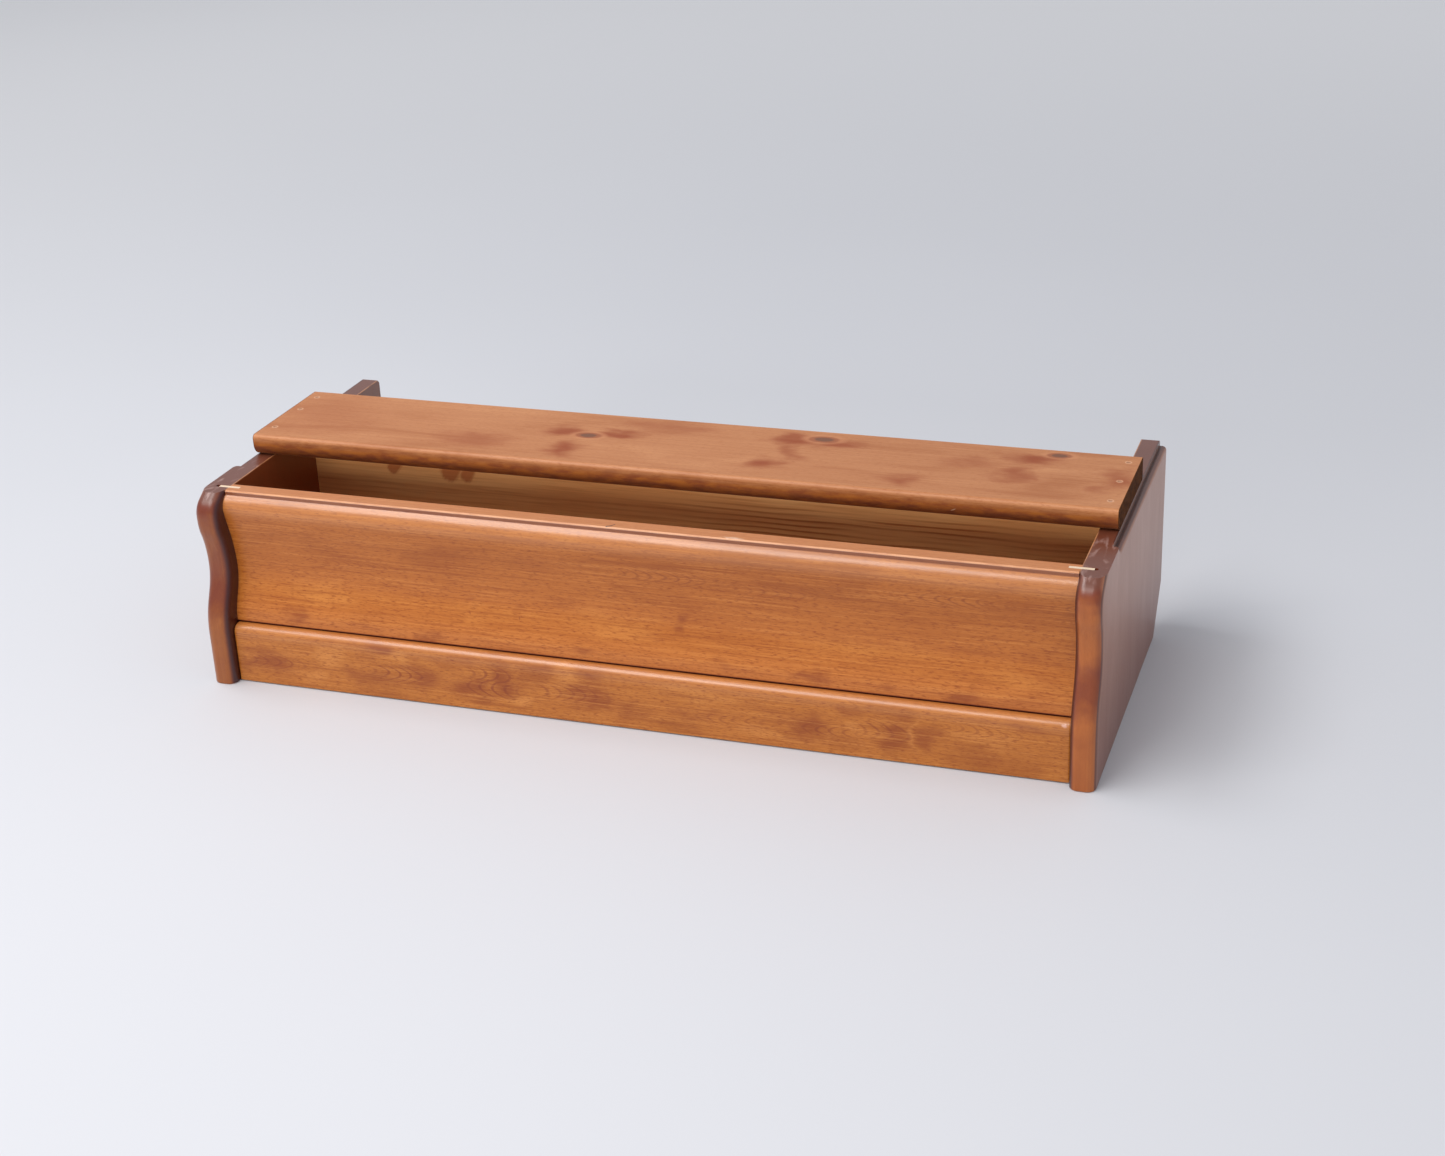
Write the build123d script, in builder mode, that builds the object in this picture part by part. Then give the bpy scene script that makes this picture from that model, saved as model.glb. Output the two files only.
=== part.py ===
"""Wooden toy box: a low box with a moulded front, open at the back behind a pine wall.

Units are millimetres. +X runs along the length, +Y towards the back and +Z up.
The origin is on the floor, midway between the two ends and midway from front to back.
Distances called "back from the plinth" are measured from the plinth's front face.
"""
import os

from build123d import *

os.makedirs("parts", exist_ok=True)

# The two sides
LENGTH = 765.0  # over the outer faces of the sides
SIDE_T = 21.0
SIDE_H = 170.5
FOOT_REACH = 10.0  # how far the feet stand in front of the plinth
REAR = 304.0  # rear end of the sides, back from the plinth
OUTER_X = LENGTH / 2
INNER_X = OUTER_X - SIDE_T
FACE_Y = (FOOT_REACH - REAR) / 2  # where the plinth's front face stands
EDGE_R = 7.5  # rounding of both arrises of a side's front edge
FOOT_R = 1.2
FOOT_STRAIGHT = 46.0  # height up to which the front edge is plumb
WAVE = [(-FOOT_REACH, FOOT_STRAIGHT), (-5.0, 73.5), (1.8, 89.5), (4.5, 105.0), (0.6, 131.0), (-3.2, 152.0)]
SHOULDER_R = 18.0  # top front corner
SHOULDER_TURN = 58.0  # degrees the corner turns before it runs out through the top
RUN_OUT = 30.0
FRONT_ZONE = 25.0  # arrises centred nearer than this, back from the plinth, are rounded
SKIRTING_H = 40.0  # cut-away over a skirting board at the rear of each foot
SKIRTING_RUN = 35.0
REAR_CHAMFER = 3.0

# Stopped rebate along the outer top edge of each side
REBATE_W = 5.5
REBATE_D = 5.7
REBATE_START = 80.0  # back from the plinth, centre of the cutter at its stop
CUTTER_R = 10.0
LIP_R = 3.5

# Front panel, a moulding whose face follows the wave of the sides
PANEL_BASE = 53.6
PANEL_BACK = 33.0
PANEL_FACE = [(9.3, PANEL_BASE), (9.9, 63.0), (16.2, 79.3), (20.5, 96.0), (16.9, 130.0), (10.6, 153.5)]
BEAD_MIDDLE = (12.2, 161.8)  # half way round the bead under the top strip
BEAD_TOP = (17.5, 166.6)  # where the bead meets the strip's front
BEAD_LEAN = (-1, 4)  # direction of the face where it runs into the bead
BEAD_SLOPE = (2, 1)  # direction of the bead where it meets the strip
PANEL_STEP = BEAD_TOP[0]  # front of the flat strip along the top
PANEL_ARRIS_R = 1.2

# Plinth
PLINTH_BASE = 1.2
PLINTH_TOP = 52.6
PLINTH_T = 19.0
PLINTH_TOP_R = 7.0
PLINTH_END_R = 2.0

# Top board
TOP_LENGTH = LENGTH - 2 * REBATE_W
TOP_T = 19.5
TOP_FRONT = 95.8
TOP_REAR = 210.8
TOP_Z = SIDE_H + TOP_T
NOSE_UPPER_R = 3.8
NOSE_LOWER_R = 10.5
TOP_ARRIS_R = 0.8

# Unfinished pine wall that closes the storage space
BACK_FRONT = 171.0
BACK_T = 19.0
BACK_BASE = 10.0

# Bottom board on two cleats
BOTTOM_Z = 30.0
BOTTOM_T = 6.0
CLEAT = 18.0
CLEAT_LENGTH = 680.0

# Loose tongues that join the boards to the sides
TONGUE_T = 4.0
TONGUE_IN_BOARD = 9.5
TONGUE_IN_SIDE = 10.0
GROOVE_IN_SIDE = 13.0
PANEL_TONGUE_Y = 26.3
PLINTH_TONGUE_Z = (10.0, 44.0)
BACK_TONGUE_Z = (40.0, 140.0)
FLUSH_GAP = 0.2

# Fasteners
NAIL_X = 367.5
NAIL_ROWS = {-1: (119.0, 165.3, 196.7), 1: (113.4, 154.8, 196.4)}  # left and right, back from the plinth
NAIL_SET = 0.4  # how far the heads sit below the top board's surface
NAIL = {"head_r": 1.6, "head_t": 0.9, "shank_r": 0.9, "length": 40.0, "point": 3.0}
BRAD = {"head_r": 1.1, "head_t": 0.6, "shank_r": 0.7, "length": 19.0, "point": 2.0}
BRAD_X = (-330.0, -210.0, -45.0, 45.0, 210.0, 330.0)
SCREW_X = (-300.0, -120.0, 120.0, 300.0)
SCREW_HEAD_R = 3.8
SCREW_HEAD_T = 2.6
SCREW_SHANK_R = 1.9
SCREW_LENGTH = 30.0
SCREW_POINT = 5.0
RECESS_R = 1.7


def section(x):
    """Cross-section plane at x: first axis back from the plinth, second axis up."""
    return Plane(origin=(x, FACE_Y, 0), x_dir=(0, 1, 0), z_dir=(1, 0, 0))


def place(x, back, z):
    """Point from its distance back from the plinth."""
    return (x, FACE_Y + back, z)


def block(x_range, back_range, z_range, mode=Mode.ADD):
    """Square-edged length of board between the given limits."""
    size = [high - low for low, high in (x_range, back_range, z_range)]
    middle = [(low + high) / 2 for low, high in (x_range, back_range, z_range)]
    with Locations(place(*middle)):
        Box(*size, mode=mode)


def turned(outline):
    """Solid of revolution about Z from (radius, z) corners, closed along the axis."""
    with BuildPart() as piece:
        with BuildSketch(Plane.XZ):
            with BuildLine():
                Polyline(*outline, close=True)
            make_face()
        revolve(axis=Axis.Z)
    return piece.part


def wire_nail(head_r, head_t, shank_r, length, point):
    """Flat-headed wire nail pointing down, top of its head at the origin."""
    return turned(
        [(0, 0), (head_r, 0), (head_r, -head_t), (shank_r, -head_t), (shank_r, point - length), (0, -length)]
    )


def wood_screw():
    """Countersunk screw pointing down, its head flush at the origin."""
    return turned(
        [
            (0, 0),
            (SCREW_HEAD_R, 0),
            (SCREW_SHANK_R, -SCREW_HEAD_T),
            (SCREW_SHANK_R, SCREW_POINT - SCREW_LENGTH),
            (0, -SCREW_LENGTH),
        ]
    )


nail = wire_nail(**NAIL)
brad = wire_nail(**BRAD)
screw = wood_screw()
nail_seats = {
    side: [Location(place(side * NAIL_X, back, TOP_Z - NAIL_SET)) for back in row]
    for side, row in NAIL_ROWS.items()
}
all_nail_seats = nail_seats[-1] + nail_seats[1]
cleat_fronts = (PLINTH_T, BACK_FRONT - CLEAT)
brad_seats = [
    Location(place(x, front + CLEAT / 2, BOTTOM_Z + BOTTOM_T)) for front in cleat_fronts for x in BRAD_X
]
screw_z = BOTTOM_Z - CLEAT / 2
front_screw_seats = [
    Location(Plane(origin=place(x, PLINTH_T + CLEAT, screw_z), x_dir=(1, 0, 0), z_dir=(0, 1, 0)))
    for x in SCREW_X
]
back_screw_seats = [
    Location(Plane(origin=place(x, BACK_FRONT - CLEAT, screw_z), x_dir=(1, 0, 0), z_dir=(0, -1, 0)))
    for x in SCREW_X
]


def save(builder, label):
    """Label a finished piece and write it out."""
    builder.part.label = label
    export_step(builder.part, f"parts/{label}.step")


# Right side, then its mirror image on the left
def side_groove(back, z_low, z_high):
    """Groove for a loose tongue in a side, with a round nose at its blind end."""
    nose_x = INNER_X + GROOVE_IN_SIDE - TONGUE_T / 2
    block((INNER_X, nose_x), (back - TONGUE_T / 2, back + TONGUE_T / 2), (z_low, z_high), Mode.SUBTRACT)
    with Locations(place(nose_x, back, (z_low + z_high) / 2)):
        Cylinder(TONGUE_T / 2, z_high - z_low, mode=Mode.SUBTRACT)


with BuildPart() as right_side:
    with BuildSketch(section(INNER_X)):
        with BuildLine():
            sole = Line((REAR - SKIRTING_RUN, 0), (-FOOT_REACH, 0))
            plumb = Line(sole @ 1, WAVE[0])
            wave = Spline(*WAVE, tangents=[(0, 1), (0, 1)])
            shoulder = JernArc(wave @ 1, (0, 1), SHOULDER_R, -SHOULDER_TURN)
            run_out = PolarLine(shoulder @ 1, RUN_OUT, direction=shoulder % 1)
            rise = run_out @ 1
            Polyline(rise, (REAR, rise.Y), (REAR, SKIRTING_H), sole @ 0)
        make_face()
    extrude(amount=SIDE_T)
    arrises = right_side.edges().filter_by(Plane.YZ)
    fillet(arrises.filter_by(lambda edge: edge.center().Y < FACE_Y + FRONT_ZONE), radius=EDGE_R)
    split(bisect_by=Plane.XY.offset(SIDE_H), keep=Keep.BOTTOM)
    chamfer(right_side.edges().filter_by(Axis.X).group_by(Axis.Z)[-1].sort_by(Axis.Y)[-1], REAR_CHAMFER)
    fillet(right_side.faces().sort_by(Axis.Z)[0].edges().sort_by(Axis.Y)[0], radius=FOOT_R)
    with BuildSketch(section(OUTER_X - REBATE_W)):
        with Locations((REBATE_START, SIDE_H - REBATE_D + CUTTER_R)):
            Circle(CUTTER_R)
        with Locations(((REBATE_START + REAR) / 2, SIDE_H)):
            Rectangle(REAR - REBATE_START, 2 * REBATE_D)
    extrude(amount=REBATE_W, mode=Mode.SUBTRACT)
    lip = right_side.edges().filter_by(Axis.Y).group_by(Axis.X)[-1].sort_by(Axis.Y)[-1]
    fillet(lip, radius=LIP_R)
    side_groove(PANEL_TONGUE_Y, PANEL_BASE, SIDE_H)
    side_groove(PLINTH_T / 2, *PLINTH_TONGUE_Z)
    side_groove(BACK_FRONT + BACK_T / 2, *BACK_TONGUE_Z)

with BuildPart() as left_side:
    mirror(right_side.part, about=Plane.YZ)

for side_board, side, side_label in ((left_side, -1, "left_side"), (right_side, 1, "right_side")):
    with side_board:
        with Locations(*nail_seats[side]):
            add(nail, mode=Mode.SUBTRACT)
    save(side_board, side_label)


# Front panel
def end_slots(back, z_low, z_high):
    """Slots for the loose tongues in both ends of a board."""
    for side in (-1, 1):
        x_range = sorted((side * (INNER_X - TONGUE_IN_BOARD), side * INNER_X))
        block(x_range, (back - TONGUE_T / 2, back + TONGUE_T / 2), (z_low, z_high), Mode.SUBTRACT)


with BuildPart() as front_panel:
    with BuildSketch(section(-INNER_X)):
        with BuildLine():
            face = Spline(*PANEL_FACE, tangents=[(0, 1), BEAD_LEAN])
            bead = Spline(face @ 1, BEAD_MIDDLE, BEAD_TOP, tangents=[BEAD_LEAN, BEAD_SLOPE])
            Polyline(
                bead @ 1,
                (PANEL_STEP, SIDE_H - PANEL_ARRIS_R),
                (PANEL_STEP + PANEL_ARRIS_R, SIDE_H),
                (PANEL_BACK - PANEL_ARRIS_R, SIDE_H),
                (PANEL_BACK, SIDE_H - PANEL_ARRIS_R),
                (PANEL_BACK, PANEL_BASE),
                face @ 0,
            )
        make_face()
    extrude(amount=2 * INNER_X)
    end_slots(PANEL_TONGUE_Y, PANEL_BASE, SIDE_H)
save(front_panel, "front_panel")

# Plinth
with BuildPart() as plinth:
    block((-INNER_X, INNER_X), (0, PLINTH_T), (PLINTH_BASE, PLINTH_TOP))
    fillet(plinth.edges().filter_by(Axis.X).group_by(Axis.Z)[-1].sort_by(Axis.Y)[0], radius=PLINTH_TOP_R)
    fillet(plinth.edges().filter_by(Axis.Z).group_by(Axis.Y)[0], radius=PLINTH_END_R)
    end_slots(PLINTH_T / 2, *PLINTH_TONGUE_Z)
    with Locations(*front_screw_seats):
        add(screw, mode=Mode.SUBTRACT)
save(plinth, "plinth")

# Top board with a rounded front edge
with BuildPart() as top_board:
    with BuildSketch(section(-TOP_LENGTH / 2)):
        with BuildLine():
            upper = JernArc((TOP_FRONT + NOSE_UPPER_R, TOP_Z), (-1, 0), NOSE_UPPER_R, 90)
            waist = Line(upper @ 1, (TOP_FRONT, SIDE_H + NOSE_LOWER_R))
            lower = JernArc(waist @ 1, (0, -1), NOSE_LOWER_R, 90)
            Polyline(lower @ 1, (TOP_REAR, SIDE_H), (TOP_REAR, TOP_Z), upper @ 0)
        make_face()
    extrude(amount=TOP_LENGTH)
    fillet(top_board.edges().filter_by(Axis.X).group_by(Axis.Y)[-1], radius=TOP_ARRIS_R)
    with Locations(*all_nail_seats):
        add(nail, mode=Mode.SUBTRACT)
        Cylinder(RECESS_R, NAIL_SET, align=(Align.CENTER, Align.CENTER, Align.MIN), mode=Mode.SUBTRACT)
save(top_board, "top_board")

# Pine wall
with BuildPart() as back_board:
    block((-INNER_X, INNER_X), (BACK_FRONT, BACK_FRONT + BACK_T), (BACK_BASE, SIDE_H))
    end_slots(BACK_FRONT + BACK_T / 2, *BACK_TONGUE_Z)
    with Locations(*back_screw_seats):
        add(screw, mode=Mode.SUBTRACT)
save(back_board, "back_board")

# Bottom board
with BuildPart() as bottom_board:
    block((-INNER_X, INNER_X), (PLINTH_T, BACK_FRONT), (BOTTOM_Z, BOTTOM_Z + BOTTOM_T))
    with Locations(*brad_seats):
        add(brad, mode=Mode.SUBTRACT)
save(bottom_board, "bottom_board")

# Cleats that carry the bottom board
for cleat_label, cleat_front, cleat_screws in (
    ("front_cleat", PLINTH_T, front_screw_seats),
    ("back_cleat", BACK_FRONT - CLEAT, back_screw_seats),
):
    with BuildPart() as cleat:
        block(
            (-CLEAT_LENGTH / 2, CLEAT_LENGTH / 2),
            (cleat_front, cleat_front + CLEAT),
            (BOTTOM_Z - CLEAT, BOTTOM_Z),
        )
        with Locations(*cleat_screws):
            add(screw, mode=Mode.SUBTRACT)
        with Locations(*brad_seats):
            add(brad, mode=Mode.SUBTRACT)
    save(cleat, cleat_label)

# Loose tongues, one at each end of the front panel, the plinth and the pine wall
for tongue_label, tongue_back, tongue_z in (
    ("front_tongue", PANEL_TONGUE_Y, (PANEL_BASE, SIDE_H - FLUSH_GAP)),
    ("plinth_tongue", PLINTH_T / 2, PLINTH_TONGUE_Z),
    ("back_tongue", BACK_FRONT + BACK_T / 2, BACK_TONGUE_Z),
):
    for side_label, side in (("left", -1), ("right", 1)):
        ends = (side * (INNER_X - TONGUE_IN_BOARD), side * (INNER_X + TONGUE_IN_SIDE))
        with BuildPart() as tongue:
            block(sorted(ends), (tongue_back - TONGUE_T / 2, tongue_back + TONGUE_T / 2), tongue_z)
        save(tongue, f"{tongue_label}_{side_label}")

# Fasteners, each kind as one group
with BuildPart() as top_nails:
    with Locations(*all_nail_seats):
        add(nail)
save(top_nails, "top_nails")

with BuildPart() as bottom_brads:
    with Locations(*brad_seats):
        add(brad)
save(bottom_brads, "bottom_brads")

with BuildPart() as cleat_screws:
    with Locations(*front_screw_seats, *back_screw_seats):
        add(screw)
save(cleat_screws, "cleat_screws")
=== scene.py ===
import bmesh
import bpy
from mathutils import Matrix, Vector


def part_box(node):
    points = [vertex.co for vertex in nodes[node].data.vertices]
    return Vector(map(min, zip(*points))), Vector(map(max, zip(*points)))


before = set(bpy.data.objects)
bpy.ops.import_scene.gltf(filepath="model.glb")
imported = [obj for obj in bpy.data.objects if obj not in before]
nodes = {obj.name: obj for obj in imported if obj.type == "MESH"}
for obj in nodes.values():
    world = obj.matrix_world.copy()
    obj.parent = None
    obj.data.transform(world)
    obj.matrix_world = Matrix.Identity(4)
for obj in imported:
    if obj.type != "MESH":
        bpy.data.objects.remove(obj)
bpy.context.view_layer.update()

MM = 1000  # the tables below give places and radii in millimetres

# Where faces of the CAD nodes lie, in metres
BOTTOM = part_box("front_panel")[0].z
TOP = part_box("front_panel")[1].z
PANEL_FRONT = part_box("front_panel")[0].y
PLINTH_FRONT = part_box("plinth")[0].y
PLINTH_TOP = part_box("plinth")[1].z
LID_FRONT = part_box("top_board")[0].y
LID_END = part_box("top_board")[1].x
LID_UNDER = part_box("top_board")[0].z
LID_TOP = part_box("top_board")[1].z
SIDE_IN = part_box("right_side")[0].x
SIDE_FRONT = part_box("right_side")[0].y
SIDE_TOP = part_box("right_side")[1].z
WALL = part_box("back_board")[0].y


# Building materials from nodes


def srgb(red, green, blue):
    """A linear colour from screen values 0 to 255."""

    def linear(value):
        share = value / 255
        return share / 12.92 if share <= 0.04045 else ((share + 0.055) / 1.055) ** 2.4

    return (linear(red), linear(green), linear(blue), 1.0)


class Finish:
    """One procedural material, built node by node in the frame's metres."""

    def __init__(self, name):
        self.material = bpy.data.materials.new(name)
        self.material.use_nodes = True
        self.tree = self.material.node_tree
        self.tree.nodes.clear()
        self.place = self.add("ShaderNodeTexCoord").outputs["Object"]
        axes = self.add("ShaderNodeSeparateXYZ", {0: self.place})
        self.x, self.y, self.z = axes.outputs
        facing = self.add("ShaderNodeNewGeometry").outputs["Normal"]
        self.facing = self.add("ShaderNodeSeparateXYZ", {0: facing}).outputs

    def add(self, kind, inputs=None, **settings):
        made = self.tree.nodes.new(kind)
        for key, value in settings.items():
            setattr(made, key, value)
        for key, value in (inputs or {}).items():
            self.feed(made.inputs[key], value)
        return made

    def feed(self, socket, value):
        if isinstance(value, bpy.types.NodeSocket):
            self.tree.links.new(value, socket)
        else:
            socket.default_value = value

    def math(self, operation, first, second=0.0):
        return self.add("ShaderNodeMath", {0: first, 1: second}, operation=operation).outputs[0]

    def plus(self, first, second):
        return self.math("ADD", first, second)

    def minus(self, first, second):
        return self.math("SUBTRACT", first, second)

    def times(self, first, second):
        return self.math("MULTIPLY", first, second)

    def most(self, *masks):
        result = masks[0]
        for mask in masks[1:]:
            result = self.math("MAXIMUM", result, mask)
        return result

    def centred(self, noise, reach):
        """The noise moved from around a half to around nothing, then made reach times as strong."""
        return self.times(self.minus(noise, 0.5), reach)

    def step(self, value, start, end, low=0.0, high=1.0):
        """Smooth rise from low at start to high at end; start may be above end."""
        limits = {"From Min": start, "From Max": end, "To Min": low, "To Max": high}
        inputs = {"Value": value, **limits}
        return self.add("ShaderNodeMapRange", inputs, interpolation_type="SMOOTHSTEP").outputs[0]

    def band(self, value, start, end, soft):
        """One between start and end, fading to nothing over soft on each side."""
        rise = self.step(value, start - soft, start)
        fall = self.step(value, end + soft, end)
        return self.times(rise, fall)

    def scaled(self, scale, offset=(0, 0, 0), vector=None):
        inputs = {"Vector": vector or self.place, "Location": offset, "Scale": scale}
        return self.add("ShaderNodeMapping", inputs).outputs[0]

    def noise(self, scale, offset=(0, 0, 0), detail=3.0, rough=0.55, warp=0.0, vector=None):
        inputs = {
            "Vector": self.scaled(scale, offset, vector),
            "Scale": 1.0,
            "Detail": detail,
            "Roughness": rough,
            "Distortion": warp,
        }
        return self.add("ShaderNodeTexNoise", inputs).outputs["Fac"]

    def mix(self, share, first, second):
        made = self.add("ShaderNodeMix", data_type="RGBA", blend_type="MIX")
        made.clamp_factor = True
        self.feed(made.inputs["Factor"], share)
        self.feed(made.inputs[6], first)
        self.feed(made.inputs[7], second)
        return made.outputs[2]

    def paint(self, tone, colour, mask, share=None):
        """The colour over the tone where the mask is one, thinned to share."""
        return self.mix(mask if share is None else self.times(mask, share), tone, colour)

    def vector(self, operation, *values):
        inputs = dict(enumerate(values))
        return self.add("ShaderNodeVectorMath", inputs, operation=operation).outputs[0]

    def number(self, operation, *values):
        inputs = dict(enumerate(values))
        return self.add("ShaderNodeVectorMath", inputs, operation=operation).outputs["Value"]

    def drifted(self, reach, grid, seed=0.0):
        """The place, carried up to about reach metres aside by a slow noise, so outlines wander."""
        inputs = {"Vector": self.scaled(grid, (seed, seed, 0)), "Scale": 1.0, "Detail": 2.0}
        wander = self.add("ShaderNodeTexNoise", inputs).outputs["Color"]
        level = self.vector("SUBTRACT", wander, (0.5, 0.5, 0.5))
        return self.vector("MULTIPLY_ADD", level, reach, self.place)

    def spot(self, centre, radii, soft=1.0, ragged=0.0, grid=60.0, place=None):
        """One at centre, falling to nothing at radii; ragged roughens the outline."""
        inward = self.vector("SUBTRACT", place or self.place, centre)
        reach = self.vector("MULTIPLY", inward, tuple(1 / radius for radius in radii))
        length = self.number("LENGTH", reach)
        if ragged:
            rough = self.noise((grid, grid * 2, grid * 2), offset=centre, detail=3)
            length = self.plus(length, self.centred(rough, ragged * 2))
        return self.step(length, 1.0, 1.0 - soft)

    def stroke(self, start, end, width, soft=0.5):
        """One along the straight line from start to end, width metres wide."""
        start, end = Vector(start), Vector(end)
        axis = (end - start).normalized()
        offset = self.vector("SUBTRACT", self.place, start)
        reach = self.number("DOT_PRODUCT", offset, axis)
        reach = self.math("MINIMUM", self.math("MAXIMUM", reach, 0.0), (end - start).length)
        foot = self.add("ShaderNodeVectorMath", {0: axis}, operation="SCALE")
        self.feed(foot.inputs["Scale"], reach)
        apart = self.number("DISTANCE", offset, foot.outputs[0])
        return self.step(apart, width / 2, width / 2 * (1 - soft))

    def finish(self, colour, roughness, height, depth, driven=None, **constants):
        bump = self.add("ShaderNodeBump", {"Height": height, "Distance": depth, "Strength": 1.0})
        inputs = {"Base Color": colour, "Roughness": roughness, "Normal": bump.outputs[0]}
        inputs.update(driven or {})
        shader = self.add("ShaderNodeBsdfPrincipled", inputs)
        for key, value in constants.items():
            shader.inputs[key.replace("_", " ")].default_value = value
        self.add("ShaderNodeOutputMaterial", {"Surface": shader.outputs[0]})
        return self.material


# Stained and varnished wood

GLOSS_LIFT = 0.024  # pale light that the varnish adds to every colour
DARKEST = 0.004
FIBRE_GRID = (12, 640)  # noise cells to the metre, along and across the grain
FLECK_GRID = (190, 1300)
FRONT_DEPTH = 0.05  # how far marks on a front reach back, so that they cover its curves
TOP_DEPTH = 0.02
LINE_WAVES = 560  # growth lines, in radians to the metre


def stain(red, green, blue):
    """A stain colour as seen, less the pale light that its varnish adds."""
    seen = srgb(red, green, blue)[:3]
    return tuple(max(DARKEST, part - GLOSS_LIFT) for part in seen) + (1.0,)


def board_grain(finish, seed, along="x", patch=(9, 24), warp=0.8):
    """Fine streaks, short flecks and soft clouds of a board whose grain runs along one axis."""

    def stretch(run, across):
        return {"x": (run, across, across), "z": (across, across, run)}[along]

    streak = finish.noise(stretch(*FIBRE_GRID), offset=(seed, 0, 0), detail=3, rough=0.6)
    fleck = finish.noise(stretch(*FLECK_GRID), offset=(seed, seed, 0), detail=3)
    offset = (seed, 0, seed)
    cloud = finish.noise(stretch(*patch), offset=offset, detail=4, rough=0.55, warp=warp)
    return streak, fleck, cloud


def shade(finish, grain, deep, plain, pale, fibre=0.5, cloudy=1.0):
    """Deep and pale clouds on the plain tone, then fibres lighter and darker than it."""
    cloud = grain[2]
    tone = finish.paint(plain, deep, finish.step(cloud, 0.5, 0.28, 0, cloudy))
    tone = finish.paint(tone, pale, finish.step(cloud, 0.5, 0.72, 0, cloudy))
    return fibres(finish, grain, tone, deep, pale, fibre)


def fibres(finish, grain, tone, deep, pale, fibre):
    streak, fleck = grain[:2]
    tone = finish.paint(tone, pale, finish.step(streak, 0.5, 0.7, 0, fibre * 0.7))
    tone = finish.paint(tone, deep, finish.step(streak, 0.5, 0.3, 0, fibre * 0.7))
    return finish.paint(tone, deep, finish.step(fleck, 0.5, 0.7, 0, fibre * 1.2))


def varnish(finish, tone, grain, coat, dull=0.46, bright=0.38, **constants):
    """Varnished stain with a roughness between dull and bright, and a coat as strong as asked."""
    streak, fleck, cloud = grain
    uneven = finish.plus(streak, finish.minus(cloud, 0.5))
    gloss = finish.step(uneven, 0.2, 0.8, dull, bright)
    height = finish.plus(finish.times(streak, 0.6), finish.times(fleck, 0.4))
    return finish.finish(tone, gloss, height, 0.0001, {"Coat Weight": coat}, **constants)


def patches(finish, places, surface, ragged=0.4, grid=50):
    """Soft uneven patches; each place is along, across, two radii in mm and a strength."""
    place = finish.drifted((0.05, 0.03, 0.03), (22, 40, 40), seed=4.0)
    masks = []
    for along, across, run, rise, strength in places:
        if surface == "top":
            centre = (along / MM, across / MM, LID_TOP)
            radii = (run / MM, rise / MM, TOP_DEPTH)
        else:
            centre = (along / MM, PLINTH_FRONT, across / MM)
            radii = (run / MM, FRONT_DEPTH, rise / MM)
        mask = finish.spot(centre, radii, 0.95, ragged, grid, place)
        masks.append(finish.times(mask, strength))
    return finish.most(*masks)


def arches(finish, places, seed):
    """Nested growth lines, each set bending round a tip.

    Each place is the tip's x and z in mm, the side that it points to, the set's reach and
    rise in mm, and a strength.
    """
    place = finish.drifted((0.012, 0.006, 0.006), (20, 45, 45), seed=seed)
    x, _, z = finish.add("ShaderNodeSeparateXYZ", {0: place}).outputs
    masks = []
    for tip, middle, way, reach, rise, strength in places:
        run = finish.times(finish.minus(x, tip / MM), way)
        aside = finish.math("ABSOLUTE", finish.minus(z, middle / MM))
        sag = finish.times(finish.math("POWER", aside, 2.0), reach / MM / (rise / MM) ** 2)
        wave = finish.math("SINE", finish.times(finish.plus(run, sag), LINE_WAVES))
        line = finish.step(wave, 0.45, 1.0)
        centre = ((tip - way * reach * 0.45) / MM, PLINTH_FRONT, middle / MM)
        radii = (reach / MM, FRONT_DEPTH, rise * 1.15 / MM)
        area = finish.spot(centre, radii, 0.7, 0.2, 60)
        masks.append(finish.times(finish.times(line, area), strength))
    return finish.most(*masks)


# The top board

# Knots: x, y, length and width in mm
LID_KNOTS = ((-87, 12, 9, 5), (113, 46, 10, 5.5), (311, 52, 8, 4.5))
LID_REDDISH = (
    (-110, 19, 27, 18, 1.0), (-62, 22, 28, 15, 1.0), (-94, -24, 24, 24, 1.0),
    (-87, 12, 30, 16, 0.7), (88, 40, 38, 20, 1.0), (134, 38, 28, 16, 0.9),
    (80, -18, 26, 25, 1.0), (97, 14, 18, 34, 0.7), (288, 39, 34, 17, 1.0),
    (280, 6, 24, 27, 0.8), (193, -28, 26, 22, 0.8), (361, 8, 22, 44, 0.7),
    (-178, -16, 62, 24, 0.6), (-28, 44, 66, 24, 0.5), (-335, 10, 80, 66, 0.3),
    (240, 24, 36, 18, 0.5),
)
NAILS = (
    (-367.5, -28), (-367.5, 18.3), (-367.5, 49.7),
    (367.5, -33.6), (367.5, 7.8), (367.5, 49.4),
)
NAIL_RING = (0.0034, 0.0034, 0.004)
NAIL_PIT = (0.0020, 0.0020, 0.004)
LID_SCRATCHES = (
    ((234, -51.2, 178), (241, -51.2, 175)),
    ((241, -51.2, 175), (252, -50.4, 181)),
    ((287, -51.2, 176), (291, -50.8, 172)),
    ((291, -51.2, 174), (289, -50.6, 171.4)),
)
SCRATCH_WIDTH = 0.0011
NOSE_GOLD_Z = (LID_TOP + 0.001, LID_TOP - 0.007)
NOSE_GOLD_Y = (LID_FRONT + 0.006, LID_FRONT + 0.002)
NOSE_SHADE_Z = (LID_TOP - 0.008, LID_UNDER + 0.006)
NOSE_SHADE_Y = (LID_FRONT + 0.014, LID_FRONT + 0.009)
LID_END_X = (LID_END - 0.0006, LID_END - 0.0001)


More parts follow.
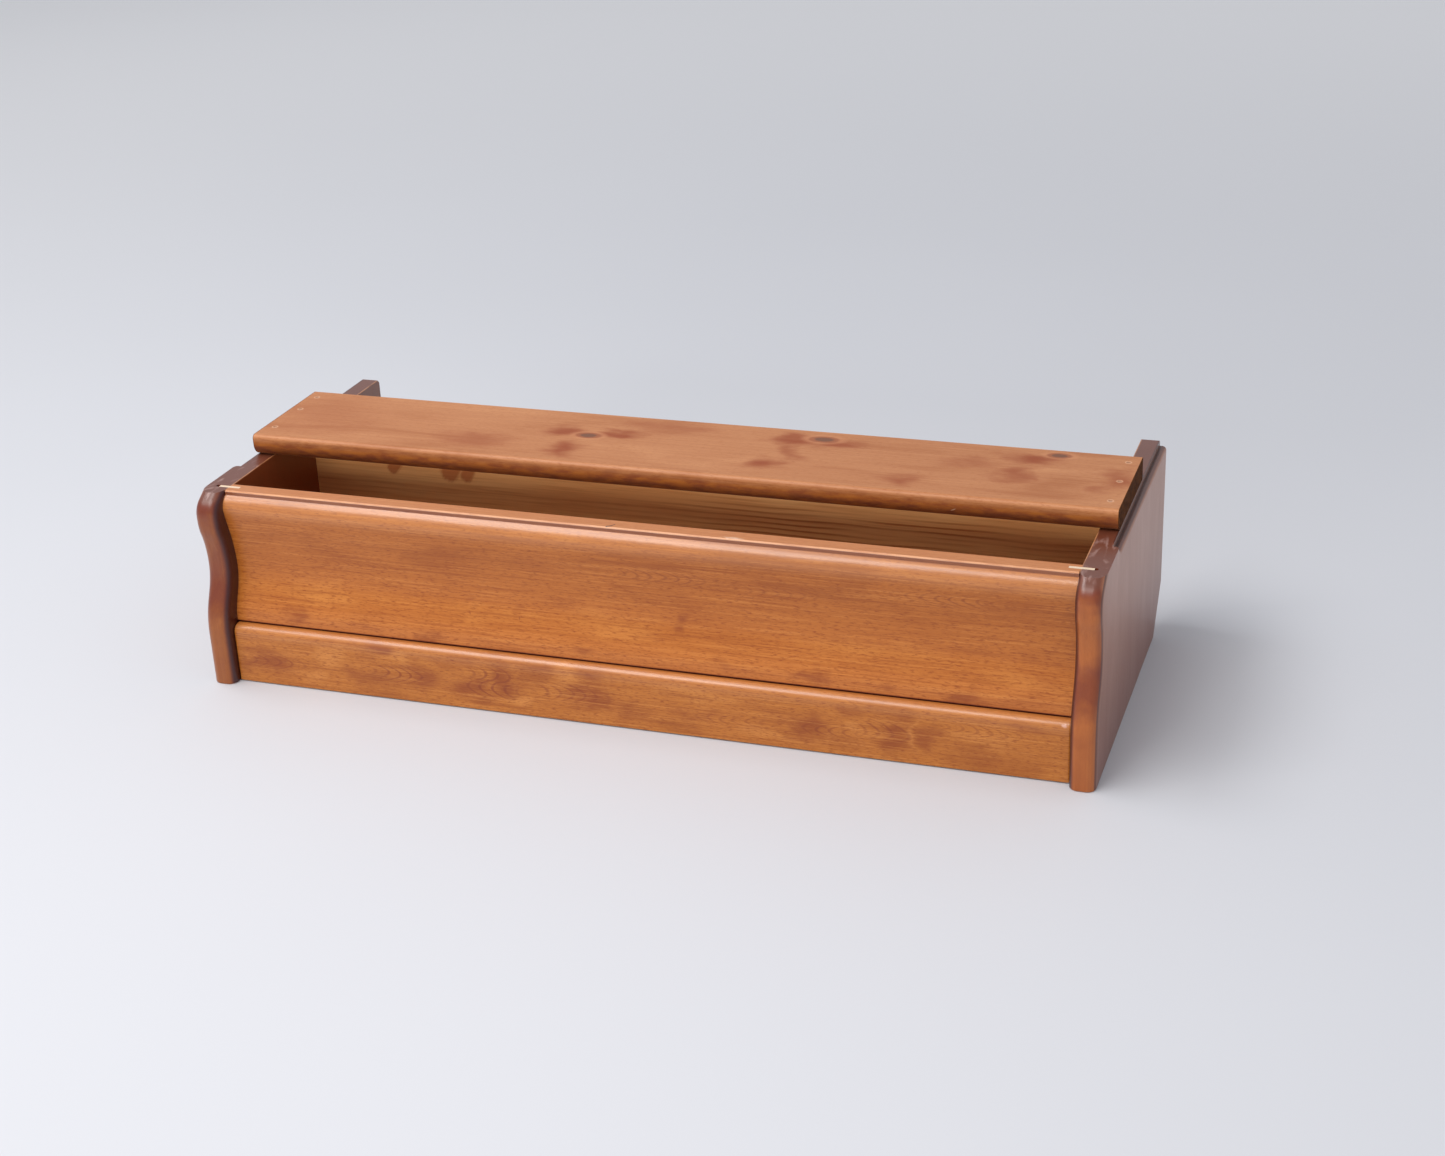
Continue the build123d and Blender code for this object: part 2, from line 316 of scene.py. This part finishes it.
def knot(finish, tone, along, across, run, rise):
    """A pale halo, a brown core and a grey-brown eye."""
    centre = (along / MM, across / MM, LID_TOP)

    def oval(size, **outline):
        return finish.spot(centre, (run * size / MM, rise * size / MM, TOP_DEPTH), **outline)

    halo = oval(2.2, soft=0.3, ragged=0.12, grid=70)
    core = oval(1.5, soft=0.25, ragged=0.12, grid=90)
    eye = oval(1, soft=0.35, ragged=0.2, grid=110)
    tone = finish.paint(tone, stain(206, 142, 102), halo, 0.35)
    tone = finish.paint(tone, stain(146, 82, 54), core, 0.7)
    return finish.paint(tone, stain(116, 80, 64), eye, 0.85)


def dress_lid():
    finish = Finish("stained_top_board")
    grain = board_grain(finish, 3.0, patch=(7, 22))
    deep, plain, pale = stain(162, 98, 60), stain(187, 126, 86), stain(202, 142, 99)
    tone = shade(finish, grain, deep, plain, pale, 0.5, 0.6)
    tone = finish.paint(tone, stain(150, 78, 46), patches(finish, LID_REDDISH, "top"))
    for place in LID_KNOTS:
        tone = knot(finish, tone, *place)

    # The nose: golden brown, partly the stain's own deeper tone and partly painted shade, growing
    # darker and mottled towards the underside with more painted shade
    mottle = finish.noise((70, 240, 240), offset=(8, 0, 0), detail=4)
    uneven = finish.plus(finish.z, finish.times(mottle, 0.004))
    low = finish.step(uneven, *NOSE_GOLD_Z)
    front = finish.step(finish.y, *NOSE_GOLD_Y)
    nose_stain_and_shade = finish.mix(finish.step(mottle, 0.3, 0.7), stain(124, 66, 26), stain(160, 94, 42))
    tone = finish.paint(tone, nose_stain_and_shade, finish.times(low, front), 0.85)
    # Painted shade over a deeper stain, darkening the nose towards the underside
    underside_rise = finish.step(finish.z, *NOSE_SHADE_Z)
    front = finish.step(finish.y, *NOSE_SHADE_Y)
    underside_stain_and_shade = finish.mix(finish.step(mottle, 0.35, 0.65), stain(74, 36, 18), stain(108, 58, 26))
    tone = finish.paint(tone, underside_stain_and_shade, finish.times(underside_rise, front), 0.45)

    # Round each nail: a pale ring of painted highlight on the raised rim, and a darker pit of
    # painted shade in the hollow
    for x, y in NAILS:
        centre = (x / MM, y / MM, LID_TOP)
        rim_highlight = finish.spot(centre, NAIL_RING, soft=0.35, ragged=0.2, grid=600)
        tone = finish.paint(tone, stain(228, 180, 146), rim_highlight, 0.6)
        pit_shade = finish.spot(centre, NAIL_PIT, soft=0.3)
        tone = finish.paint(tone, stain(124, 78, 54), pit_shade, 0.6)
    for ends in LID_SCRATCHES:
        start, end = [[part / MM for part in point] for point in ends]
        line = finish.stroke(start, end, SCRATCH_WIDTH)
        tone = finish.paint(tone, stain(206, 168, 138), line, 0.6)

    # The sawn ends: dark, dull end grain
    end = finish.step(finish.math("ABSOLUTE", finish.x), *LID_END_X)
    saw = finish.noise((500, 900, 260), detail=4)
    end_tone = finish.mix(finish.step(saw, 0.35, 0.65), srgb(58, 28, 10), srgb(104, 60, 26))
    tone = finish.paint(tone, end_tone, end)
    dull = finish.step(finish.most(end, low), 0.0, 1.0, 0.48, 0.9)
    height = finish.plus(finish.times(grain[0], 0.6), finish.times(saw, end))
    sheen = {"Specular IOR Level": finish.step(end, 0.0, 1.0, 0.45, 0.08)}
    return finish.finish(tone, dull, height, 0.00013, sheen, Coat_Weight=0.0)


# The front panel

PANEL_REDDISH = (
    (-160, 122, 44, 34, 0.7), (115, 132, 60, 26, 0.6), (325, 132, 44, 26, 0.6),
    (-90, 132, 40, 22, 0.3), (240, 112, 60, 14, 0.4), (60, 96, 50, 16, 0.45),
    (-330, 128, 40, 30, 0.35), (-260, 120, 40, 24, 0.25),
)
PANEL_GOLDEN = (
    (-290, 84, 80, 14, 1.0), (-10, 85, 60, 16, 0.9), (-120, 80, 60, 10, 0.7),
    (200, 84, 90, 16, 0.7), (320, 76, 60, 10, 0.7), (-52, 160, 18, 6, 0.7),
    (235, 157, 30, 5, 0.6), (340, 156, 30, 5, 0.6),
)
PANEL_SMUDGES = (
    (-310, 61, 22, 9, 0.8), (-180, 60, 18, 9, 0.7), (-40, 60, 16, 8, 0.7),
    (150, 61, 22, 10, 0.9), (280, 60, 24, 10, 0.8), (47, 91, 9, 9, 1.0),
    (-100, 88, 8, 12, 0.5), (-143, 88, 7, 10, 0.4), (-60, 96, 30, 6, 0.3),
    (215, 60, 14, 6, 0.5), (75, 62, 14, 8, 0.5), (-240, 60, 20, 6, 0.5),
)
PANEL_ARCHES = (
    (62, 132, 1, 70, 13, 0.45), (155, 128, 1, 60, 12, 0.35), (232, 138, -1, 64, 12, 0.45),
    (345, 142, -1, 50, 9, 0.4), (-210, 112, 1, 90, 10, 0.3), (-330, 100, -1, 60, 8, 0.25),
    (-40, 108, -1, 70, 9, 0.25), (300, 98, 1, 70, 8, 0.25),
)
# Fine cracks: the x and z of both ends in mm
PANEL_CHECKS = (((-145, 90), (-142, 75)), ((-100, 95), (-98, 75)))
CHECK_Y = -0.130
CHECK_WIDTH = 0.0016
LIT_BASE_Z = (BOTTOM + 0.0185, BOTTOM + 0.0165)
BEAD_Z = (TOP - 0.026, TOP - 0.008)
STRIP_SHADES = (stain(194, 126, 80), stain(168, 98, 56), stain(210, 144, 98))
STRIP_Z = (TOP - 0.0016, TOP - 0.0006)
STRIP_FRONT = PANEL_FRONT + 0.0082
STEP_SHADE_Z = (TOP - 0.0036, TOP - 0.0014)
STEP_SHADE_Y = (STRIP_FRONT - 0.0022, STRIP_FRONT - 0.0006)
NICK = ((-0.0165, -0.1278, TOP), (-0.0135, -0.1262, TOP), (-0.0115, -0.1228, TOP))
NICK_WIDTHS = (0.0022, 0.0014)
SCUFF = ((0.0895, -0.127, TOP), (0.011, 0.0022, 0.003))
PANEL_GAP_SHADE_Z = (BOTTOM + 0.0012, BOTTOM + 0.0002)
GAP_SHADE = stain(92, 38, 20)
GLOSSY = {"Coat_Roughness": 0.27, "Specular_IOR_Level": 0.35}


def dress_panel():
    finish = Finish("stained_front_panel")
    grain = board_grain(finish, 11.0, patch=(8, 30))
    deep, plain, pale = stain(146, 80, 38), stain(180, 108, 56), stain(204, 132, 72)
    tone = finish.paint(plain, deep, finish.step(grain[2], 0.5, 0.3, 0, 0.5))
    tone = finish.paint(tone, stain(198, 127, 67), patches(finish, PANEL_GOLDEN, "front"))
    tone = finish.paint(tone, stain(156, 86, 42), patches(finish, PANEL_REDDISH, "front"))
    tone = finish.paint(tone, stain(130, 68, 26), arches(finish, PANEL_ARCHES, 2.0), 1.3)
    for ends in PANEL_CHECKS:
        start, end = [(along / MM, CHECK_Y, up / MM) for along, up in ends]
        line = finish.stroke(start, end, CHECK_WIDTH, 0.6)
        tone = finish.paint(tone, stain(112, 56, 24), line, 0.5)
    # Painted light: a paler golden band along the bottom, where the lower flare faces up
    lit_base = finish.step(finish.z, *LIT_BASE_Z)
    tone = finish.paint(tone, stain(194, 120, 66), lit_base, 0.45)
    smudge = patches(finish, PANEL_SMUDGES, "front", ragged=0.6, grid=90)
    tone = finish.paint(tone, stain(140, 74, 32), smudge)
    tone = fibres(finish, grain, tone, deep, pale, 0.75)

    # The bead with a painted highlight, the flat strip above it, the strip's worn edge and painted
    # shade on the step under it
    bead = finish.step(finish.z, *BEAD_Z)
    # Painted highlight: a paler tone along the bead
    tone = finish.paint(tone, stain(204, 146, 100), bead, 0.3)
    strip = finish.step(finish.z, *STRIP_Z)
    tone = finish.paint(tone, fibres(finish, grain, *STRIP_SHADES, 0.4), strip, 0.8)
    worn = finish.noise((40, 200, 200), offset=(2, 0, 0), detail=3)
    arris = finish.times(finish.band(finish.y, STRIP_FRONT, STRIP_FRONT + 0.001, 0.0006), strip)
    arris = finish.times(arris, finish.step(worn, 0.35, 0.6, 0.05, 0.4))
    tone = finish.paint(tone, stain(228, 170, 122), arris)
    # Painted shade on the step under the strip
    under = finish.band(finish.z, *STEP_SHADE_Z, 0.0008)
    under = finish.times(under, finish.step(finish.y, *STEP_SHADE_Y))
    tone = finish.paint(tone, stain(92, 46, 24), under, 0.6)

    # A nick and a scuff in the strip, and painted shade in the gap above the plinth
    cuts = [finish.stroke(*NICK[i : i + 2], NICK_WIDTHS[i], 0.4) for i in range(2)]
    tone = finish.paint(tone, stain(66, 40, 26), finish.most(*cuts), 0.9)
    scuff = finish.spot(*SCUFF, 0.8, 0.7, 260)
    tone = finish.paint(tone, stain(226, 190, 166), scuff, 0.7)
    gap_shade = finish.step(finish.z, *PANEL_GAP_SHADE_Z)
    tone = finish.paint(tone, GAP_SHADE, gap_shade, 0.85)

    bare = finish.step(strip, 0.0, 1.0, 1.0, 0.4)
    coat = finish.times(finish.step(bead, 0.0, 1.0, 0.35, 1.0), bare)
    return varnish(finish, tone, grain, coat, **GLOSSY)


# The plinth

PLINTH_DEEP = (
    (-335, 21, 34, 19, 0.8), (-222, 42, 17, 10, 0.8), (-236, 18, 26, 13, 0.6),
    (-186, 25, 32, 20, 0.8), (-140, 20, 32, 18, 0.9), (-150, 44, 26, 8, 0.5),
    (-108, 34, 22, 24, 0.8), (-74, 40, 26, 14, 0.7), (-32, 26, 30, 26, 0.9),
    (-4, 14, 16, 18, 0.6), (58, 20, 18, 9, 0.5), (150, 21, 24, 16, 0.8),
    (180, 42, 16, 9, 0.6), (226, 27, 16, 20, 0.8), (252, 26, 12, 22, 0.7),
    (110, 34, 24, 6, 0.3), (330, 40, 30, 9, 0.4), (300, 14, 26, 7, 0.3),
)
PLINTH_PALE = (
    (-265, 34, 24, 18, 0.7), (-96, 13, 18, 9, 0.8), (-55, 44, 14, 12, 0.7),
    (-290, 12, 20, 8, 0.5), (60, 38, 60, 10, 0.5), (130, 12, 60, 7, 0.6),
    (240, 28, 5, 24, 0.5), (-205, 40, 14, 10, 0.6), (290, 30, 40, 10, 0.4),
    (190, 26, 16, 6, 0.5),
)
PLINTH_ARCHES = (
    (-186, 25, 1, 40, 12, 0.5), (-140, 22, -1, 38, 13, 0.5), (-104, 34, 1, 34, 12, 0.45),
    (-30, 26, 1, 44, 14, 0.4), (150, 22, -1, 40, 10, 0.4), (232, 26, 1, 36, 14, 0.4),
    (-300, 22, 1, 50, 11, 0.35), (60, 20, -1, 50, 9, 0.3), (320, 36, 1, 50, 10, 0.3),
)
PLINTH_HIGHLIGHT_Z = (PLINTH_TOP - 0.006, PLINTH_TOP - 0.002)
PLINTH_SHINE_Z = (PLINTH_TOP - 0.014, PLINTH_TOP - 0.005)
PLINTH_GAP_SHADE_Y = (PLINTH_FRONT + 0.0088, PLINTH_FRONT + 0.0094)
CHIP = ((0.356, PLINTH_FRONT, 0.0496), (0.0034, 0.003, 0.002))


def dress_plinth():
    finish = Finish("stained_plinth")
    grain = board_grain(finish, 23.0, patch=(16, 26), warp=0.5)
    deep, plain, pale = stain(142, 78, 36), stain(182, 113, 58), stain(206, 137, 76)
    tone = finish.paint(plain, deep, finish.step(grain[2], 0.5, 0.3, 0, 0.4))
    tone = finish.paint(tone, pale, patches(finish, PLINTH_PALE, "front", ragged=0.6))
    blots = patches(finish, PLINTH_DEEP, "front", ragged=0.7)
    tone = finish.paint(tone, stain(142, 76, 34), blots)
    tone = finish.paint(tone, stain(126, 62, 24), arches(finish, PLINTH_ARCHES, 7.0), 1.3)
    tone = fibres(finish, grain, tone, deep, pale, 0.75)
    # Painted highlight along the rounded top edge
    edge = finish.step(finish.z, *PLINTH_HIGHLIGHT_Z)
    tone = finish.paint(tone, stain(212, 142, 88), edge, 0.35)
    # Painted shade in the gap under the panel
    tone = finish.paint(tone, GAP_SHADE, finish.step(finish.y, *PLINTH_GAP_SHADE_Y))
    chip = finish.spot(*CHIP, 0.6, 0.6, 500)
    tone = finish.paint(tone, stain(224, 178, 160), chip, 0.8)
    coat = finish.step(finish.z, *PLINTH_SHINE_Z, 0.35, 1.0)
    return varnish(finish, tone, grain, coat, **GLOSSY)


# The side boards

SMEARED_Y = (SIDE_FRONT + 0.012, SIDE_FRONT + 0.085)
BULGE_Z = (0.076, 0.088)
CORNER_Z = (0.142, 0.164)
RIM_Y = (-0.10, -0.12)
CORNER_SHADE_Y = (PANEL_FRONT + 0.014, PANEL_FRONT + 0.006)
REBATE_X = (LID_END - 0.0003, LID_END + 0.0012)
REBATE_Y = (-0.071, -0.067)
REBATE_Z = (0.1638, 0.1645)
FRONT_SHADE_Y = (PANEL_FRONT + 0.03, PANEL_FRONT + 0.02)
BEHIND_Y = (WALL, WALL + 0.01)
INNER_ARRIS_X = (SIDE_IN + 0.0011, SIDE_IN + 0.0004)
INNER_ARRIS_Z = (SIDE_TOP - 0.0011, SIDE_TOP - 0.0004)
LEFT_FACE = (stain(128, 70, 36), stain(148, 86, 46), stain(166, 102, 58))
RIGHT_FACE = (stain(150, 82, 42), stain(170, 98, 52), stain(184, 112, 62))
FLAT_SHADES = (stain(152, 94, 66), stain(171, 110, 80), stain(186, 124, 92))


def dress_side(name, sign, face_shades, stain_and_sheen_share):
    """One side board, whose outer face looks along sign times x."""
    finish = Finish(name)
    grain = board_grain(finish, 31.0 * sign, along="z")
    away = finish.times(finish.facing[0], sign)
    reach = finish.times(finish.x, sign)

    # Outer face, with painted shade darker towards the floor
    tone = shade(finish, grain, *FLAT_SHADES, 0.3, 0.3)
    outer = finish.step(away, 0.5, 0.85)
    # Painted shade: darker towards the floor
    foot = finish.times(outer, finish.step(finish.z, 0.14, 0.0, 0, 0.65))
    tone = finish.paint(tone, stain(116, 58, 22), foot)

    # Front edge: orange brown, with purple brown on the bulge and the top corner, partly stain
    # soaked into the end grain and partly painted sheen
    face = shade(finish, grain, *face_shades, 0.3)
    drift = finish.centred(finish.noise((60, 60, 60), detail=2), 0.03)
    height = finish.plus(finish.z, drift)
    bulge = finish.times(finish.band(height, *BULGE_Z, 0.022), 0.85)
    # Partly deeper stain in the end grain, partly painted sheen
    stain_and_sheen = finish.most(bulge, finish.step(height, *CORNER_Z))
    face = finish.paint(face, stain(106, 52, 38), stain_and_sheen, stain_and_sheen_share)
    tone = finish.paint(tone, face, finish.step(finish.facing[1], -0.25, -0.6))

    # Dark lines where the front edge turns into the outer face, and painted shade where it turns in
    # towards the panel
    rim = finish.times(finish.band(away, 0.86, 0.94, 0.05), finish.step(finish.y, *RIM_Y))
    tone = finish.paint(tone, stain(66, 30, 18), rim, 0.65)
    # Painted shade in the corner beside the panel
    corner_shade = finish.times(finish.step(away, -0.35, -0.85), finish.step(finish.y, *CORNER_SHADE_Y))
    tone = finish.paint(tone, stain(96, 46, 22), corner_shade, 0.6)

    # Dust smears and a greyish painted sheen on the top; painted shade and grey dust in the rebate
    top = finish.step(finish.facing[2], 0.5, 0.85)
    smear = finish.noise((110, 40, 40), offset=(5, 0, 0), detail=4, warp=1.2)
    smear = finish.step(smear, 0.52, 0.72)
    smear = finish.times(smear, finish.band(finish.y, *SMEARED_Y, 0.02))
    # Dust smears over a greyish painted sheen on the top
    dust_and_sheen = finish.paint(stain(112, 70, 58), stain(168, 134, 126), smear, 0.7)
    tone = finish.paint(tone, dust_and_sheen, top)
    dip = finish.band(reach, *REBATE_X, 0.0012)
    dip = finish.times(dip, finish.step(finish.z, *REBATE_Z))
    dip = finish.times(dip, finish.step(finish.y, *REBATE_Y))
    # Painted shade in the rebate, greyed where dust lies
    rebate_shade_and_dust = finish.paint(stain(66, 38, 32), stain(104, 76, 72), finish.step(smear, 0.2, 0.6))
    tone = finish.paint(tone, rebate_shade_and_dust, dip, 0.6)

    # Inner face: painted shade, darkest in front of the panel; paler behind the pine wall
    # Painted shade on the inner face in front of the panel
    front_shade = finish.step(finish.y, *FRONT_SHADE_Y)
    behind = finish.step(finish.y, *BEHIND_Y)
    inside = finish.paint(stain(134, 72, 52), stain(74, 32, 17), front_shade)
    inside = finish.paint(inside, stain(132, 84, 62), behind)
    tone = finish.paint(tone, inside, finish.step(away, -0.5, -0.85))

    # Worn inner arris of the top
    worn = finish.noise((120, 30, 120), offset=(4, 0, 0), detail=3)
    arris = finish.step(reach, *INNER_ARRIS_X)
    arris = finish.times(arris, finish.step(finish.z, *INNER_ARRIS_Z))
    arris = finish.times(arris, finish.step(worn, 0.3, 0.6, 0.15, 0.75))
    tone = finish.paint(tone, stain(214, 150, 104), arris)
    return varnish(finish, tone, grain, 0.4, dull=0.42, bright=0.34, Coat_Roughness=0.3)


# Bare wood and metal

# Spike knots on the pine wall: upper and lower end as x and z in mm, width in mm, strength
SPIKE_KNOTS = (
    ((-273, 152), (-284, 138), 15, 1.0),
    ((-219, 153), (-228, 139), 24, 1.0),
    ((-204, 151), (-212, 137), 18, 0.9),
)
SPIKE_SPREAD = 1.25
SPIKE_LEAN = -0.6
RING_WAVES = 1250  # growth rings, in radians to the metre
RING_X = (-0.12, 0.15)  # the rings show more to the right


def dress_pine():
    finish = Finish("bare_pine_board")
    place = finish.drifted((0.02, 0.012, 0.012), (5, 14, 14))
    _, back, up = finish.add("ShaderNodeSeparateXYZ", {0: place}).outputs
    spread = finish.plus(up, finish.times(back, 0.35))
    rings = finish.math("SINE", finish.times(spread, RING_WAVES))
    fade = finish.step(finish.noise((5, 45, 45), offset=(9, 0, 0), detail=2), 0.35, 0.65)
    right = finish.step(finish.x, *RING_X, 0.25, 1.0)
    late = finish.times(finish.step(rings, 0.1, 0.95), finish.times(fade, right))
    streak = finish.noise((12, 500, 500), detail=3)
    glow = finish.noise((4, 30, 30), offset=(3, 0, 0), detail=2)
    tone = finish.mix(finish.step(glow, 0.35, 0.65), srgb(232, 168, 106), srgb(246, 192, 128))
    tone = finish.paint(tone, srgb(186, 112, 56), late)
    tone = finish.paint(tone, srgb(196, 128, 72), finish.step(streak, 0.45, 0.7, 0, 0.4))
    barbs = []
    for upper, lower, width, strength in SPIKE_KNOTS:
        start, end = [(along / MM, WALL, high / MM) for along, high in (upper, lower)]
        barb = finish.stroke(start, end, width * SPIKE_SPREAD / MM, 0.8)
        barbs.append(finish.times(barb, strength))
    lean = finish.plus(finish.x, finish.times(finish.z, SPIKE_LEAN))
    lean = finish.add("ShaderNodeCombineXYZ", {0: lean, 2: finish.z}).outputs[0]
    offset = (6, 0, 0)
    feather = finish.noise((300, 30, 40), offset=offset, detail=4, rough=0.6, vector=lean)
    spike = finish.plus(finish.most(*barbs), finish.centred(feather, 0.7))
    tone = finish.paint(tone, srgb(172, 86, 42), finish.step(spike, 0.3, 0.85, 0, 0.72))
    height = finish.plus(finish.times(streak, 0.6), finish.times(late, 0.12))
    return finish.finish(tone, 0.6, height, 0.00015)


def dress_plywood():
    finish = Finish("thin_plywood")
    streak = finish.noise((10, 300, 300), detail=4)
    flame = finish.noise((3, 30, 30), detail=3, warp=1.0)
    tone = finish.mix(finish.step(flame, 0.4, 0.6), srgb(206, 166, 116), srgb(184, 136, 86))
    tone = finish.paint(tone, srgb(150, 104, 62), streak, 0.4)
    return finish.finish(tone, 0.65, streak, 0.0002)


def dress_tongue():
    finish = Finish("pale_tongue_wood")
    streak = finish.noise((900, 900, 60), detail=3)
    tone = finish.mix(streak, srgb(206, 176, 144), srgb(240, 220, 196))
    return finish.finish(tone, 0.6, streak, 0.0002)


def dress_metal(name, dark, light, smooth, metallic):
    """Finely scratched metal, as plain steel or under stain."""
    finish = Finish(name)
    scratch = finish.noise((1500, 1500, 1500), detail=3)
    rough = finish.step(scratch, 0.2, 0.8, 0.5, smooth)
    tone = finish.mix(scratch, dark, light)
    return finish.finish(tone, rough, scratch, 0.0001, Metallic=metallic)


def put(names, material):
    for name in names:
        for slot in nodes[name].material_slots:
            slot.material = material


put(["top_board"], dress_lid())
put(["front_panel"], dress_panel())
put(["plinth"], dress_plinth())
put(["left_side"], dress_side("stained_left_side", -1, LEFT_FACE, 0.7))
put(["right_side"], dress_side("stained_right_side", 1, RIGHT_FACE, 0.8))
put(["back_board", "front_cleat", "back_cleat"], dress_pine())
put(["bottom_board"], dress_plywood())
put([name for name in nodes if "tongue" in name], dress_tongue())
stained_heads = ("stained_nail_heads", srgb(150, 98, 70), srgb(214, 172, 142), 0.35, 0.35)
put(["top_nails"], dress_metal(*stained_heads))
dull_steel = ("dull_steel", srgb(96, 92, 88), srgb(178, 176, 172), 0.3, 1.0)
put(["bottom_brads", "cleat_screws"], dress_metal(*dull_steel))


# Floor, light and camera

FLOOR_RADIUS = 14
# Painted light: the floor grows paler away from the middle
FLOOR_PAINTED_LIGHT = (0.8, 3.5)  # the floor grows paler between these distances from the middle
SKY_COLOUR = (0.93, 0.95, 1.0, 1.0)
SKY_STRENGTH = 0.56
WARM = (1.0, 0.985, 0.96)
COOL = (0.97, 0.985, 1.0)


def make_floor():
    shape = bmesh.new()
    bmesh.ops.create_circle(shape, cap_ends=True, segments=96, radius=FLOOR_RADIUS)
    mesh = bpy.data.meshes.new("floor")
    shape.to_mesh(mesh)
    shape.free()
    floor = bpy.data.objects.new("floor", mesh)
    bpy.context.scene.collection.objects.link(floor)
    finish = Finish("pale_floor")
    drift = finish.noise((0.8, 0.8, 0.8), detail=2)
    tone = finish.mix(drift, srgb(203, 204, 209), srgb(210, 211, 216))
    apart = finish.number("LENGTH", finish.place)
    tone = finish.paint(tone, srgb(246, 246, 248), finish.step(apart, *FLOOR_PAINTED_LIGHT))
    mesh.materials.append(finish.finish(tone, 0.7, drift, 0.0001))


def make_world():
    world = bpy.data.worlds.new("studio")
    world.use_nodes = True
    sky = world.node_tree.nodes["Background"]
    sky.inputs["Color"].default_value = SKY_COLOUR
    sky.inputs["Strength"].default_value = SKY_STRENGTH
    bpy.context.scene.world = world


def add_softbox(name, place, aim, size, power, colour):
    lamp = bpy.data.lights.new(name, "AREA")
    lamp.shape = "RECTANGLE"
    lamp.size, lamp.size_y = size
    lamp.energy = power
    lamp.color = colour
    box = bpy.data.objects.new(name, lamp)
    box.location = place
    ahead = Vector(aim) - Vector(place)
    box.rotation_euler = ahead.to_track_quat("-Z", "Y").to_euler()
    bpy.context.scene.collection.objects.link(box)
    return box


CAMERA_PLACE = (0.63083, -1.65137, 0.86613)
CAMERA_RIGHT = (0.94576, 0.32212, -0.04210)
CAMERA_AHEAD = (-0.31025, 0.85718, -0.41107)
CAMERA_LENS = 56.1745


def make_camera():
    data = bpy.data.cameras.new("photo_view")
    data.sensor_width = 36
    data.lens = CAMERA_LENS
    data.clip_end = 100
    camera = bpy.data.objects.new("photo_view", data)
    right = Vector(CAMERA_RIGHT).normalized()
    ahead = Vector(CAMERA_AHEAD).normalized()
    up = right.cross(ahead)
    turn = Matrix((right, up, -ahead)).transposed()
    camera.matrix_world = Matrix.Translation(CAMERA_PLACE) @ turn.to_4x4()
    bpy.context.scene.collection.objects.link(camera)
    bpy.context.scene.camera = camera


make_floor()
make_world()
add_softbox("overhead_front", (-0.8, -1.15, 2.25), (0, 0, 0.1), (1.8, 1.2), 39, WARM)
low_front = add_softbox("low_front", (-0.2, -4.4, 1.3), (0, 0, 0.1), (2.2, 0.6), 60, WARM)
low_front.visible_glossy = False
add_softbox("left_side_light", (-1.3, 0.1, 2.6), (0, 0, 0), (1.0, 1.0), 17, COOL)
make_camera()
bpy.context.scene.view_settings.view_transform = "Standard"
